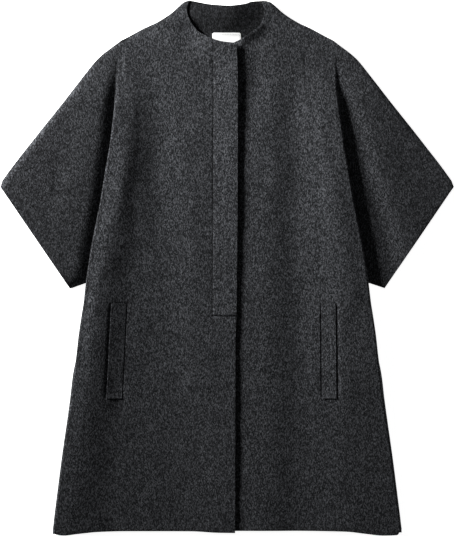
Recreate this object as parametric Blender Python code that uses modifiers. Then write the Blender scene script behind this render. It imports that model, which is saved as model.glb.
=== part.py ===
"""Wool cape coat laid flat on a surface, front up.

Every place on the coat is given in millimetres in a tailor's frame: "down" is the distance
below the top of the collar and "out" the distance from the centre line towards the sleeve of
the side in question. World axes are metres: the wearer's right is -X, the collar is towards
+Y, and the surface that the coat lies on is Z = 0, below the middle of its outline.

The back is one flat panel. Each front is one panel, cut in one with its half sleeve and its
part of the collar. At the armhole the front is folded: the body rolls over its own edge,
returns underneath, and comes out again as the sleeve.
"""
import bpy
import numpy as np


def table(names, *rows):
    """Columns by name; the first one is always the distance down."""
    return dict(zip(names.split(), np.array(rows, float).T))


MM = 0.001
COAT_TOP = 520.5            # collar top to the middle of the outline, along Y
WALL = 2.5                  # double-faced wool cloth
SEAM_GAP = 0.3              # clear space where two pieces are sewn together
SEAM = 1.5 * WALL + SEAM_GAP          # middle of a front panel where it is sewn to the back
RIGHT, LEFT = -1, 1         # sign of X on the wearer's right and left
STAND_DEPTH = 56.0          # where the lift of the back collar has died away, down
STAND_CLEAR = (9.0, 7.0)    # how much wider and deeper the fronts follow that lift
NECK_REACH = 34.0           # how far from the neck edge its extra height is felt
RIM_REACH = 8.0             # and that of its narrow rim
SHOULDER_ROUND = 13.0       # width of the rounded edge along the shoulder and overarm seam
SHOULDER_WAY = (0.80, 0.60)           # out and down, along the shoulder seam at the armhole
UNDERARM_ROUND = 26.0       # the same along the underarm seam
SLEEVE_LOW = 0.6            # clear height of the sleeve in the crease
PUFF_DOWN = (66.0, 150.0)   # where the sleeve's puff begins and is full
CUFF_RISE = 1.2             # clear height gained towards the cuff
SIDE_TUCK = 7.0             # how far the back reaches in under the rolled side edge
WELT_THICK = 2.0
WELT_FREE_EDGE = 0.9        # how far the open edge of a welt stands off
LABEL_SIZE = (56.0, 28.0, 0.6)
LABEL_CUT = 4.0             # cut off its upper corners
LABEL_MIDDLE = (1.2, 75.0)  # out to the right and down
WOOL = (0.028, 0.029, 0.031)
LABEL_WHITE = (0.78, 0.78, 0.77)

# Lines of the outline, as (out, down) points.
SHOULDER = np.array([
    (83, 3), (95, 13), (109, 25), (137, 43), (163, 55), (185, 67), (217, 86), (241, 104),
    (254, 116), (284, 154), (314, 193), (376, 271), (433, 346), (441, 360)], float)
CUFF_TIP = (441.0, 363.0)
CUFF_HEEL = (304.0, 559.0)  # lower corner of the cuff
UNDERARM = (276.0, 550.0)   # where the underarm seam goes in under the body
CREASE_END = (240.0, 541.0)           # where it ends, inside the fold
COLLAR_BACK = np.array([    # from the wearer's right, out below 0, to the left
    (-72.6, 0), (-43, 6), (-30, 8), (3, 10), (35, 6), (48, 1.5), (67.8, 0)], float)
NECK_RIGHT = np.array([     # collar top to the placket seam
    (72.6, 0), (77, 8), (78.5, 18), (76.5, 29), (72, 39), (64, 51), (55, 61), (43, 68), (27, 75)], float)
NECK_LEFT = np.array([
    (67.8, 0), (69, 6), (72, 14), (72, 26), (69, 38), (63.5, 49), (55, 57), (45, 64), (35, 70), (27, 75)], float)
LAP_NECK_RIGHT = np.array([(27, 75), (14, 79), (-3, 81.5), (-19, 83)], float)
LAP_NECK_LEFT = np.array([(27, 75), (19, 79), (3, 84), (-15, 84), (-34, 80)], float)
HEM_RIGHT = np.array([      # centre front to the side
    (-19, 1035), (20, 1034.5), (72, 1032), (190, 1032), (250, 1033), (290, 1037), (318, 1041),
    (333, 1038), (340, 1030)], float)
HEM_LEFT = np.array([
    (-34, 1031), (20, 1030.5), (120, 1031), (230, 1032.5), (270, 1037), (304, 1041),
    (331, 1040), (338, 1029)], float)

# Centre front edges. The left front runs on beneath the right one.
CENTRE_RIGHT = table(
    "down edge", (80, -19), (174, -21.4), (583, -19), (626, -17.6), (653, -16.3), (1041, -15.3))
CENTRE_LEFT = table("down edge", (80, -34), (1041, -34))

# The fold at the armhole and, below the underarm, the rolled side edge. "edge" is the
# outermost line of the roll. "turn" is how far the cloth turns under (180 is right back on
# itself), and the last three columns are lengths along the cloth: the roll, the part that
# returns underneath, and the crease where it turns out again as the sleeve.
FOLD = table(
    "down edge turn roll back crease",
    (60, 213.0, 0, 8.5, 3.0, 6.0),
    (92, 213.5, 3, 8.5, 3.0, 6.0),
    (120, 214.5, 12, 8.5, 3.0, 6.0),
    (142, 216.0, 38, 8.0, 2.4, 5.4),
    (165, 218.0, 78, 7.6, 2.0, 5.0),
    (192, 220.0, 115, 7.6, 2.0, 4.8),
    (222, 223.0, 145, 7.8, 4.0, 4.9),
    (280, 230.0, 165, 8.3, 11.0, 5.4),
    (338, 239.5, 173, 8.5, 17.0, 5.6),
    (396, 248.5, 176, 8.5, 21.0, 5.6),
    (450, 259.0, 177, 8.5, 26.0, 5.6),
    (500, 268.0, 177, 8.5, 30.0, 5.6),
    (538, 273.5, 177, 8.5, 32.0, 5.6),
    (590, 279.0, 175, 8.5, 27.0, 5.6),
    (614, 282.5, 172, 8.5, 22.0, 5.6),
    (653, 288.5, 165, 8.5, 12.0, 5.6),
    (693, 294.0, 150, 8.0, 6.0, 5.6),
    (733, 299.5, 125, 7.8, 2.5, 5.6),
    (775, 305.5, 100, 7.5, 1.6, 5.6),
    (880, 321.0, 90, 7.0, 1.3, 5.6),
    (973, 333.0, 90, 6.5, 1.0, 5.6),
    (1041, 340.0, 90, 6.0, 1.0, 5.6))

# Height of the cloth's middle along four lines that run down the body of each front: the broad
# crest of the chest, the trough beside it, the foot of the next slope, and the ridge at the fold.
FORM_RIGHT = table(
    "down crest_out crest trough_out trough flank_out flank ridge_out ridge",
    (60, 75, 9.2, 135, 7.6, 155, 7.8, 172, 8.0),
    (115, 75, 9.6, 142, 6.8, 165, 7.4, 182, 8.2),
    (165, 75, 9.6, 146, 6.2, 170, 7.4, 188, 9.8),
    (222, 74, 9.6, 146, 5.8, 174, 8.4, 196, 13.2),
    (271, 72, 9.4, 141, 5.6, 176, 9.6, 206, 16.2),
    (330, 70, 9.4, 138, 5.6, 180, 10.4, 212, 17.4),
    (388, 66, 9.6, 134, 5.5, 182, 10.2, 217, 17.2),
    (447, 64, 9.4, 130, 5.5, 186, 10.2, 228, 17.2),
    (505, 62, 9.0, 124, 5.5, 190, 10.4, 236, 17.2),
    (583, 60, 8.4, 116, 5.4, 192, 10.6, 252, 16.6),
    (681, 58, 7.8, 108, 5.4, 200, 10.4, 268, 15.6),
    (739, 56, 7.4, 102, 5.4, 206, 9.8, 276, 14.6),
    (817, 54, 7.0, 96, 5.4, 218, 9.0, 288, 13.2),
    (895, 52, 6.8, 94, 5.4, 230, 8.4, 298, 11.8),
    (1041, 52, 6.8, 94, 5.4, 240, 7.6, 312, 10.0))
FORM_LEFT = table(
    "down crest_out crest trough_out trough flank_out flank ridge_out ridge",
    (60, 80, 8.8, 135, 7.6, 155, 7.8, 172, 8.0),
    (115, 82, 9.2, 145, 6.8, 165, 7.4, 182, 8.2),
    (165, 84, 9.2, 144, 6.2, 168, 7.8, 186, 10.6),
    (222, 86, 9.0, 142, 5.8, 168, 8.6, 190, 13.6),
    (271, 86, 8.8, 140, 5.6, 168, 9.6, 198, 16.2),
    (330, 86, 8.8, 136, 5.6, 168, 10.6, 206, 18.0),
    (388, 86, 8.8, 132, 5.5, 168, 11.4, 210, 18.6),
    (466, 84, 8.8, 130, 5.5, 168, 11.4, 218, 18.2),
    (560, 84, 8.8, 136, 5.5, 174, 9.4, 232, 15.6),
    (661, 84, 8.8, 142, 5.6, 176, 8.6, 216, 12.2),
    (739, 82, 8.8, 146, 5.6, 178, 8.2, 218, 11.2),
    (850, 82, 8.6, 146, 5.6, 180, 7.2, 226, 9.6),
    (1041, 82, 8.4, 142, 5.6, 182, 6.6, 236, 8.6))

# Height at the centre front edge and at the placket seam. The edge that laps over stands off,
# and the left front lies low beneath it.
LAP_PLACES = (-19.0, 26.0)
LAP_RIGHT = table(
    "down edge seam", (80, 12.6, 10.6), (222, 12.2, 10.4), (450, 10.6, 9.6), (620, 9.6, 9.0), (1041, 9.4, 8.8))
LAP_LEFT = table("down edge seam", (80, 5.2, 5.2), (1041, 5.2, 5.2))

# How far the top edge of the back collar stands off the surface, from the wearer's right (below 0)
# to the left.
STAND = table(
    "place lift", (-128, 0), (-88, 8), (-66, 11.5), (-40, 10), (-14, 7), (4, 4), (22, 1), (38, 0),
    (125, 0))

# Extra height of a front along its neck edge: at the lap, at the side, and its own narrow rim.
STAND_RIGHT = (3.0, -4.0, 0.0)
STAND_LEFT = (3.0, 3.0, 7.0)

# Puff of a sleeve beside the crease: where it begins at the top and at the welt's level, how wide
# its rise is, its height, how far it takes to settle, the height kept, and how steeply it begins.
PUFF_RIGHT = (-3.0, -3.0, 30.0, 8.4, 120.0, 3.6, 1.0)
PUFF_LEFT = (10.0, 34.0, 46.0, 4.6, 130.0, 1.0, 0.0)

# Grain lines that columns of cells follow: the placket seam and the long sides of the welts.
GRAIN_RIGHT = table(
    "down placket welt_in welt_out",
    (222, 27, 152, 184), (450, 28, 180, 210), (590, 28.5, 195.5, 225), (775, 29, 205, 235.5),
    (900, 29, 218, 250), (1041, 29, 235, 270))
GRAIN_LEFT = table(
    "down placket welt_in welt_out",
    (222, 27, 148, 178), (450, 28, 172, 200), (590, 28.5, 183, 211), (775, 29, 184.5, 213),
    (900, 29, 200, 234), (1041, 29, 220, 260))

# Rows of cells: through the yoke they start on the roll line, below it they run straight across.
YOKE_ROWS = (77, 92, 108, 124, 142, 165, 192, 222)
BODY_ROWS = (280, 338, 396, 450, 500, 538, 562, 590, 614, 653, 693, 733, 775, 825, 880, 935, 985)
BACK_YOKE_ROWS = (85, 95, 104, 115, 147, 181, 222)
BACK_ROWS = (300, 396, 470, 541, 565, 590, 614, 653, 693, 733, 775, 880, 973, 1031)
NECK_ROW = 4                # the row that starts where the placket seam meets the neck
UNDERARM_ROW = 13           # the last row of the sleeve
WELT_ROWS = slice(15, 21)
WELT_TOP = 590.0            # down to the first of them
PLACKET_ROW = 16            # bottom of the fly placket
STRIP_COLUMNS = 3           # from the centre front edge to the placket seam
WELT_COLUMNS = (9, 11)      # counted from the placket seam
MAIN_COLUMNS = 15           # from the placket seam to the roll
SLEEVE_COLUMNS = 8
ROLL_STEPS, RETURN_STEPS, CREASE_STEPS = 5, 3, 4
BACK_UNDERARM_ROW = 10
BACK_SHOULDER_COLUMNS = 14
BACK_NECK_COLUMNS = 12
BACK_SLEEVE_COLUMNS = 5
BACK_SIDE = (216.0, 246.0)  # out to the line between body and sleeve cells, at the top and the underarm


def smooth(t):
    """Ease from 0 to 1 with level ends."""
    t = np.clip(t, 0.0, 1.0)
    return t * t * (3 - 2 * t)


def read(columns, name, down):
    """The named column of a table at the given distance down."""
    return np.interp(down, columns["down"], columns[name])


def along(line, share):
    """Points at the given shares of a line's length."""
    length = np.concatenate([[0], np.cumsum(np.hypot(*np.diff(line, axis=0).T))])
    at = np.asarray(share) * length[-1]
    return np.stack([np.interp(at, length, line[:, 0]), np.interp(at, length, line[:, 1])], axis=-1)


def distance(points, line):
    """Least distance from each point to a line of straight stretches."""
    start, way = line[:-1], np.diff(line, axis=0)
    offset = points[..., None, :] - start
    share = np.clip((offset * way).sum(-1) / (way * way).sum(-1), 0, 1)
    return np.linalg.norm(offset - share[..., None] * way, axis=-1).min(-1)


def rounded(near):
    """Quarter round from 0 at a seam to 1 at the given distance from it."""
    return np.sqrt(1 - np.clip(1 - near, 0, 1) ** 2)


def patch(top, bottom, left, right, level):
    """Surface spanned by four edges, with its rows at the given levels from top to bottom."""
    v = np.asarray(level, float)[:, None, None]
    u = np.linspace(0, 1, len(top))[None, :, None]
    sides = (1 - u) * left[:, None] + u * right[:, None]
    ends = (1 - v) * top[None] + v * bottom[None]
    corners = (1 - v) * ((1 - u) * top[0] + u * top[-1]) + v * ((1 - u) * bottom[0] + u * bottom[-1])
    return sides + ends - corners


def collar_lift(place, down):
    """Height gained by the back of the collar at a signed place across and a distance down."""
    return np.interp(place, STAND["place"], STAND["lift"]) * smooth(1 - down / STAND_DEPTH)


def fold_path(down):
    """Outward travel, drop and turn of the cloth at each step through the fold, a row per place."""
    turn = np.radians(read(FOLD, "turn", down))[:, None]
    parts = (("roll", ROLL_STEPS), ("back", RETURN_STEPS), ("crease", CREASE_STEPS))
    step = np.concatenate(
        [np.repeat(read(FOLD, name, down)[:, None] / count, count, axis=1) for name, count in parts], axis=1)
    under = (np.arange(ROLL_STEPS) + 0.5) / ROLL_STEPS
    out_again = 1 - (np.arange(CREASE_STEPS) + 0.5) / CREASE_STEPS
    heading = turn * np.concatenate([under, np.ones(RETURN_STEPS), out_again])
    travel = np.cumsum(step * np.cos(heading), axis=1)
    drop = np.cumsum(step * np.sin(heading), axis=1)
    roll_start = read(FOLD, "edge", down) - WALL / 2 - travel[:, :ROLL_STEPS].max(axis=1)
    return roll_start, travel, drop, turn[:, 0]


def seam_rise(points):
    """0 on the shoulder and overarm seam, 1 beyond the rounded edge there."""
    seam = np.vstack([COLLAR_BACK[-1:], SHOULDER, [CUFF_TIP]])
    return rounded(distance(points, seam) / SHOULDER_ROUND)


def body_height(points, neck, stand, form, lap, side, edge_out, edge_height):
    """Middle of the body cloth: level crests and troughs joined by smooth slopes, with the collar
    raised or lowered along the neck edge."""
    out, down = points[..., 0], points[..., 1]
    wider, deeper = STAND_CLEAR
    lifts = [collar_lift(side * (out - shift), down - deeper) for shift in (-wider, 0, wider)]
    seam = SEAM + np.max(lifts, axis=0)
    lap_rise, side_rise, rim = stand
    near = distance(points, neck)
    rise = lap_rise + (side_rise - lap_rise) * smooth((out - 20) / 40)
    collar = rise * np.exp(-(near / NECK_REACH) ** 2)
    reach = RIM_REACH * (1 + smooth((40 - down) / 30))
    collar = collar + rim * smooth((out - 28) / 30) * np.exp(-(near / reach) ** 2)
    knots = [(LAP_PLACES[0], read(lap, "edge", down)), (LAP_PLACES[1], read(lap, "seam", down))]
    for name in ("crest", "trough", "flank", "ridge"):
        knots.append((read(form, name + "_out", down), read(form, name, down)))
    height = np.broadcast_to(knots[0][1], out.shape)
    for (x0, z0), (x1, z1) in zip(knots[:-1], knots[1:]):
        height = height + (z1 - z0) * smooth((out - x0) / (x1 - x0))
    height = seam + np.maximum(height + collar - SEAM, 0.0) * seam_rise(points)
    ridge_out = knots[-1][0]
    return height + (edge_height - height) * smooth((out - ridge_out) / (edge_out - ridge_out))


def sleeve_height(points, puff):
    """Middle of the sleeve cloth: low in the crease, puffed beside it, settling to the cuff."""
    out, down = points[..., 0], points[..., 1]
    high, low, width, rise, settled, kept, steep = puff
    first, last = PUFF_DOWN
    begin = high + (low - high) * smooth((down - last) / (WELT_TOP - last))
    beyond = out - read(FOLD, "edge", down) - WALL - begin
    share = np.clip(beyond / width, 0, 1)
    puffed = rise * (steep * (1 - (1 - share) ** 2) + (1 - steep) * smooth(share))
    puffed = puffed + (kept - rise) * smooth((beyond - width) / settled)
    puffed = puffed * smooth((down - first) / (last - first))
    underarm = np.array([CREASE_END, UNDERARM, CUFF_HEEL])
    clear = (SLEEVE_LOW + puffed + CUFF_RISE * smooth(beyond / width)) * seam_rise(points)
    return SEAM + clear * rounded(distance(points, underarm) / UNDERARM_ROUND)


def body_columns(down, grain, roll_out):
    """Out positions of one straight row, spread between the grain lines."""
    placket, welt_in, welt_out = (read(grain, name, down) for name in ("placket", "welt_in", "welt_out"))
    first, last = WELT_COLUMNS
    chest = np.linspace(placket, welt_in, first + 1)
    welt = np.linspace(welt_in, welt_out, last - first + 1)
    side = np.linspace(welt_out, roll_out, MAIN_COLUMNS - last + 1)
    return np.concatenate([chest, welt[1:], side[1:]])


def front_grid(side, neck, lap_neck, stand, hem, centre, form, lap, grain, puff):
    """Middle points of one front as [row, column, (out, down, height)]; nan where it has no cloth."""
    downs = np.array([*YOKE_ROWS, *BODY_ROWS, hem[-1, 1]], float)
    roll_out, travel, drop, turn = fold_path(downs)
    yoke = len(YOKE_ROWS)
    end = YOKE_ROWS[-1]

    # Yoke: between the shoulder seam, the neck, the roll line and the first straight row.
    shoulder = np.vstack([neck[:1], SHOULDER[SHOULDER[:, 0] < roll_out[0]], [(roll_out[0], downs[0])]])
    across = np.linspace(0, 1, MAIN_COLUMNS + 1)
    neck_points = along(neck, np.linspace(0, 1, NECK_ROW + 1))
    seam_down = np.linspace(neck[-1, 1], end, yoke - NECK_ROW)[1:]
    left = np.vstack([neck_points, np.stack([np.full(len(seam_down), neck[-1, 0]), seam_down], axis=1)])
    right = np.stack([roll_out, downs], axis=1)[:yoke]
    columns = body_columns(end, grain, roll_out[yoke - 1])
    bottom = np.stack([columns, np.full(len(columns), end)], axis=1)
    main = [patch(along(shoulder, across), bottom, left, right, np.linspace(0, 1, yoke))]

    # Straight rows down to the hem; the last one follows the hem line.
    for row in range(yoke, len(downs)):
        columns = body_columns(downs[row], grain, roll_out[row])
        level = np.full(len(columns), downs[row])
        if row == len(downs) - 1:
            level = np.interp(columns, hem[:, 0], hem[:, 1])
        main.append(np.stack([columns, level], axis=1)[None])
    main = np.concatenate(main)

    # Strip between the placket seam and the centre front edge.
    share = np.linspace(1, 0, STRIP_COLUMNS + 1)[:-1]
    seam, level = main[:, :1, 0], main[:, :1, 1]
    strip = np.stack([seam + (read(centre, "edge", level) - seam) * share, level + 0 * share], axis=2)
    strip[:NECK_ROW] = np.nan
    strip[NECK_ROW] = along(lap_neck, share)
    strip[-1, :, 1] = np.interp(strip[-1, :, 0], hem[:, 0], hem[:, 1])
    body = np.concatenate([strip, main], axis=1)

    # Fold: each row's path leaves along the shoulder seam at the top and straight out lower down.
    level = np.minimum(np.arange(len(downs)) / (yoke - 1), 1.0)[:, None]
    way = (1 - level) * SHOULDER_WAY + level * (1.0, 0.0)
    way = way / np.linalg.norm(way, axis=1, keepdims=True)
    fold = main[:, -1:] + travel[..., None] * way[:, None]

    # Sleeve: between the overarm seam, the crease, the cuff and the underarm seam.
    arm = UNDERARM_ROW + 1
    crease = fold[:arm, -1]
    across = np.linspace(0, 1, SLEEVE_COLUMNS + 1) ** 1.25
    overarm = np.vstack([crease[:1], SHOULDER[SHOULDER[:, 0] > crease[0, 0]], [CUFF_TIP]])
    underarm = np.array([crease[-1], UNDERARM, CUFF_HEEL])
    cuff = np.linspace(CUFF_TIP, CUFF_HEEL, arm)
    sleeve = patch(along(overarm, across), along(underarm, across), crease, cuff, np.linspace(0, 1, arm))

    # Heights, from the sleeve up through the fold to the body. Below the underarm the returning
    # cloth ends on the back, where it is sewn.
    sleeve_z = sleeve_height(sleeve, puff)
    turned = ROLL_STEPS + RETURN_STEPS - 1
    roll_z = np.zeros(len(downs))
    roll_z[:arm] = sleeve_z[:, 0] + drop[:arm, -1]
    settle = (drop[arm - 1, -1] - drop[arm - 1, turned]) * 0.45 ** np.arange(1, len(downs) - arm + 1)
    roll_z[arm:] = WALL * (1 + np.abs(np.cos(turn[arm:])) / 2) + SEAM_GAP + settle + drop[arm:, turned]
    body_z = body_height(
        body, np.vstack([neck, lap_neck[1:]]), stand, form, lap, side, main[:, -1:, 0], roll_z[:, None])
    fold[arm:, turned + 1:] = np.nan
    grid = np.full((len(downs), body.shape[1] + fold.shape[1] + SLEEVE_COLUMNS, 3), np.nan)
    grid[:, :body.shape[1], :2] = body
    grid[:, :body.shape[1], 2] = body_z
    grid[:, body.shape[1]:-SLEEVE_COLUMNS, :2] = fold
    grid[:, body.shape[1]:-SLEEVE_COLUMNS, 2] = roll_z[:, None] - drop
    grid[:arm, -SLEEVE_COLUMNS:, :2] = sleeve[:, 1:]
    grid[:arm, -SLEEVE_COLUMNS:, 2] = sleeve_z[:, 1:]
    return grid


def back_grid():
    """Middle points of the back, from cuff to cuff."""
    downs = np.array([*BACK_YOKE_ROWS, *BACK_ROWS], float)
    yoke = len(BACK_YOKE_ROWS)
    arm = BACK_UNDERARM_ROW + 1
    side = np.interp(downs, (downs[0], downs[arm - 1]), BACK_SIDE)
    roll_out, travel, _, turn = fold_path(downs[arm:])
    sewn = roll_out + travel[:, ROLL_STEPS + RETURN_STEPS - 1]
    side[arm:] = sewn + WALL / 2 + SIDE_TUCK * np.maximum(-np.cos(turn), 0)
    edge = np.stack([side, downs], axis=1)
    mirror = np.array([-1.0, 1.0])

    # Body, from side to side.
    shoulder = np.vstack([SHOULDER[SHOULDER[:, 0] < edge[0, 0]], edge[:1]])
    right_shoulder = np.vstack([edge[:1] * mirror, shoulder[-2::-1] * mirror, COLLAR_BACK[:1]])
    left_shoulder = np.vstack([COLLAR_BACK[-1:], shoulder])
    cells = np.linspace(0, 1, BACK_SHOULDER_COLUMNS + 1)
    top = np.vstack([
        along(right_shoulder, cells),
        along(COLLAR_BACK, np.linspace(0, 1, BACK_NECK_COLUMNS + 1))[1:],
        along(left_shoulder, cells)[1:]])
    columns = np.linspace(-1, 1, len(top))
    rows = np.stack([columns * side[:, None], downs[:, None] + 0 * columns], axis=2)
    hem_out = rows[-1, :, 0]
    hem_right = np.interp(-hem_out, HEM_RIGHT[:, 0], HEM_RIGHT[:, 1])
    hem_left = np.interp(hem_out, HEM_LEFT[:, 0], HEM_LEFT[:, 1])
    rows[-1, :, 1] = np.where(hem_out < 0, hem_right, hem_left)
    level = (downs[:yoke] - downs[0]) / (downs[yoke - 1] - downs[0])
    rows[:yoke] = patch(top, rows[yoke - 1], edge[:yoke] * mirror, edge[:yoke], level)

    # Sleeves, between the body and the cuffs.
    across = np.linspace(0, 1, BACK_SLEEVE_COLUMNS + 1)
    overarm = np.vstack([edge[:1], SHOULDER[SHOULDER[:, 0] > edge[0, 0]], [CUFF_TIP]])
    underarm = np.array([edge[arm - 1], UNDERARM, CUFF_HEEL])
    cuff = np.linspace(CUFF_TIP, CUFF_HEEL, arm)
    sleeve = np.full((len(downs), BACK_SLEEVE_COLUMNS, 2), np.nan)
    sleeve[:arm] = patch(
        along(overarm, across), along(underarm, across), edge[:arm], cuff, np.linspace(0, 1, arm))[:, 1:]
    flat = np.concatenate([(sleeve * mirror)[:, ::-1], rows, sleeve], axis=1)
    height = WALL / 2 + collar_lift(flat[..., 0], flat[..., 1])
    return np.concatenate([flat, height[..., None]], axis=2)


def cloth(name, colour, roughness):
    """Plain material of one piece."""
    material = bpy.data.materials.new(name)
    material.use_nodes = True
    shader = material.node_tree.nodes["Principled BSDF"]
    shader.inputs["Base Color"].default_value = (*colour, 1.0)
    shader.inputs["Roughness"].default_value = roughness
    shader.inputs["Metallic"].default_value = 0.0
    return material


def panel(name, grid, side, thick=WALL):
    """One piece of cloth: triangles over a grid of middle points, thickened both ways."""
    world = np.stack([side * grid[..., 0], COAT_TOP - grid[..., 1], grid[..., 2]], axis=-1) * MM
    number = np.arange(grid.shape[0] * grid.shape[1]).reshape(grid.shape[:2])
    a, b, c, d = number[:-1, :-1], number[:-1, 1:], number[1:, 1:], number[1:, :-1]
    whole = ~np.isnan(grid[..., 0])
    keep = whole[:-1, :-1] & whole[:-1, 1:] & whole[1:, 1:] & whole[1:, :-1]
    corners = (a, b, c, a, c, d) if side == RIGHT else (a, c, b, a, d, c)
    faces = np.stack(corners, axis=-1)[keep].reshape(-1, 3)
    used, faces = np.unique(faces, return_inverse=True)
    mesh = bpy.data.meshes.new(name)
    mesh.from_pydata(world.reshape(-1, 3)[used].tolist(), [], faces.reshape(-1, 3).tolist())
    mesh.materials.append(cloth(name + " wool", WOOL, 0.95))
    mesh.shade_smooth()
    piece = bpy.data.objects.new(name, mesh)
    coat.objects.link(piece)
    wall = piece.modifiers.new("wall", "SOLIDIFY")
    wall.thickness = thick * MM
    wall.offset = 0.0
    wall.use_even_offset = True
    return piece


for old in list(bpy.data.objects):
    bpy.data.objects.remove(old, do_unlink=True)
coat = bpy.data.collections.new("wool_cape_coat")
bpy.context.scene.collection.children.link(coat)

panel("back", back_grid(), LEFT)

left_front = front_grid(
    LEFT, NECK_LEFT, LAP_NECK_LEFT, STAND_LEFT, HEM_LEFT, CENTRE_LEFT, FORM_LEFT, LAP_LEFT, GRAIN_LEFT,
    PUFF_LEFT)
panel("front_left", left_front, LEFT)

# The right front and the placket share one surface, parted along the seam between them.
right_front = front_grid(
    RIGHT, NECK_RIGHT, LAP_NECK_RIGHT, STAND_RIGHT, HEM_RIGHT, CENTRE_RIGHT, FORM_RIGHT, LAP_RIGHT,
    GRAIN_RIGHT, PUFF_RIGHT)
placket = right_front[NECK_ROW:PLACKET_ROW + 1, :STRIP_COLUMNS + 1].copy()
placket[:, -1, 0] -= SEAM_GAP / 2
placket[-1, :, 1] -= SEAM_GAP / 2
panel("fly_placket", placket, RIGHT)
notched = right_front.copy()
notched[NECK_ROW:PLACKET_ROW, :STRIP_COLUMNS] = np.nan
notched[NECK_ROW:PLACKET_ROW + 1, STRIP_COLUMNS, 0] += SEAM_GAP / 2
notched[PLACKET_ROW, :STRIP_COLUMNS + 1, 1] += SEAM_GAP / 2
panel("front_right", notched, RIGHT)

# Pocket welts, from the points of the front they lie on, moved out. The open edge stands off.
for name, grid, side in (("welt_right", right_front, RIGHT), ("welt_left", left_front, LEFT)):
    first, last = (STRIP_COLUMNS + count for count in WELT_COLUMNS)
    welt = grid[WELT_ROWS, first:last + 1].copy()
    welt[..., 2] += WALL / 2 + SEAM_GAP + WELT_THICK / 2
    welt[:, -1, 2] += WELT_FREE_EDGE
    panel(name, welt, side, WELT_THICK)

# Blank woven label with its upper corners cut off, on the inside of the back collar.
wide, tall, thick = LABEL_SIZE
outline = (
    (-wide / 2, -tall / 2), (wide / 2, -tall / 2), (wide / 2, tall / 2 - LABEL_CUT),
    (wide / 2 - LABEL_CUT, tall / 2), (LABEL_CUT - wide / 2, tall / 2), (-wide / 2, tall / 2 - LABEL_CUT))
shape = bpy.data.curves.new("label", "CURVE")
shape.dimensions = "2D"
shape.fill_mode = "BOTH"
shape.extrude = thick / 2 * MM
spline = shape.splines.new("POLY")
spline.points.add(len(outline) - 1)
for point, (x, y) in zip(spline.points, outline):
    point.co = (x * MM, y * MM, 0.0, 1.0)
spline.use_cyclic_u = True
shape.materials.append(cloth("label weave", LABEL_WHITE, 0.8))
label = bpy.data.objects.new("label", shape)
label.location = (
    -LABEL_MIDDLE[0] * MM, (COAT_TOP - LABEL_MIDDLE[1]) * MM, (WALL + SEAM_GAP + thick / 2) * MM)
coat.objects.link(label)
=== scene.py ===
"""Wool cape coat laid flat, front up, dressed in brushed charcoal wool.

Places on the cloth are in millimetres in a tailor's frame: "down" from the collar top and "out"
from the centre line towards the sleeve of the side in question. World axes are metres, with the
wearer's right at -X and the collar towards +Y.
"""
import bpy
import numpy as np
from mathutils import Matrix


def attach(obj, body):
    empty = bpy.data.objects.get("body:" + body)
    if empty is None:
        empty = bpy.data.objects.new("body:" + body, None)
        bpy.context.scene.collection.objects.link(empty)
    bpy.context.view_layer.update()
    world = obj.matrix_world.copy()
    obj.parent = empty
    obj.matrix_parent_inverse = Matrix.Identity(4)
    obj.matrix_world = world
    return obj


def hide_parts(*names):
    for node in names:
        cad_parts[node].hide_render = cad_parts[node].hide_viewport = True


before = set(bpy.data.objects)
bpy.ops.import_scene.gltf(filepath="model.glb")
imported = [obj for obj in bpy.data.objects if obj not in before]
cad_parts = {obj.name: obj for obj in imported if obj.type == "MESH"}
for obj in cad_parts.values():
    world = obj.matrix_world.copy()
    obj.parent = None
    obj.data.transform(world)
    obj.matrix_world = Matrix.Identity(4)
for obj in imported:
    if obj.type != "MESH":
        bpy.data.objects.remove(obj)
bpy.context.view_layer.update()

# ---------------------------------------------------------------------------------------------
# Studio. A white paper sweep, one broad soft light far to the left, low and a little towards the
# collar, turned half away so that it fades towards the hem, and a camera that looks straight down.
PAPER_WHITE = (0.93, 0.93, 0.93, 1.0)
PAPER_GLOW = 1.0
PAPER_SIZE = 14.0
PAPER_BELOW = 0.0004         # the paper lies this far under the cloth
KEY_LIGHT = dict(place=(-2.60, 1.60, 0.98), way=(0.80, 0.42, 0.30), size=1.0, watts=850.0)
TOP_LIGHT = dict(place=(0.0, 0.7, 2.6), way=(0.0, -0.2, -1.0), size=1.6, watts=4.0)
AIR_COLOUR, AIR_STRENGTH = (0.96, 0.98, 1.0, 1.0), 0.035
CAMERA_HEIGHT = 5.0
FIELD_LONG = 1.0452          # long side of the picture, on the surface
FIELD_CENTRE = (0.0005, -0.0002)
SENSOR = 36.0


def added(name, data):
    """An object that holds the data, put into the scene."""
    thing = bpy.data.objects.new(name, data)
    bpy.context.scene.collection.objects.link(thing)
    return thing


def finish(name, settings):
    """A material, what makes its nodes and links, and its shader with settings on its sockets."""
    material = bpy.data.materials.new(name)
    material.use_nodes = True
    tree = material.node_tree
    shader = tree.nodes["Principled BSDF"]
    for socket, value in settings.items():
        shader.inputs[socket].default_value = value
    return material, tree.nodes.new, tree.links.new, shader


def paper_floor():
    """A flat square, just under the cloth, whose own faint glow keeps it white in the shade."""
    corners = np.array([(-1, -1), (1, -1), (1, 1), (-1, 1)]) * PAPER_SIZE / 2
    mesh = bpy.data.meshes.new("paper_floor")
    mesh.from_pydata([(x, y, -PAPER_BELOW) for x, y in corners], [], [(0, 1, 2, 3)])
    paper, *_ = finish("white paper", {
        "Base Color": PAPER_WHITE, "Roughness": 1.0, "Specular IOR Level": 0.0,
        "Emission Color": PAPER_WHITE, "Emission Strength": PAPER_GLOW})
    mesh.materials.append(paper)
    added("paper_floor", mesh)


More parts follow.
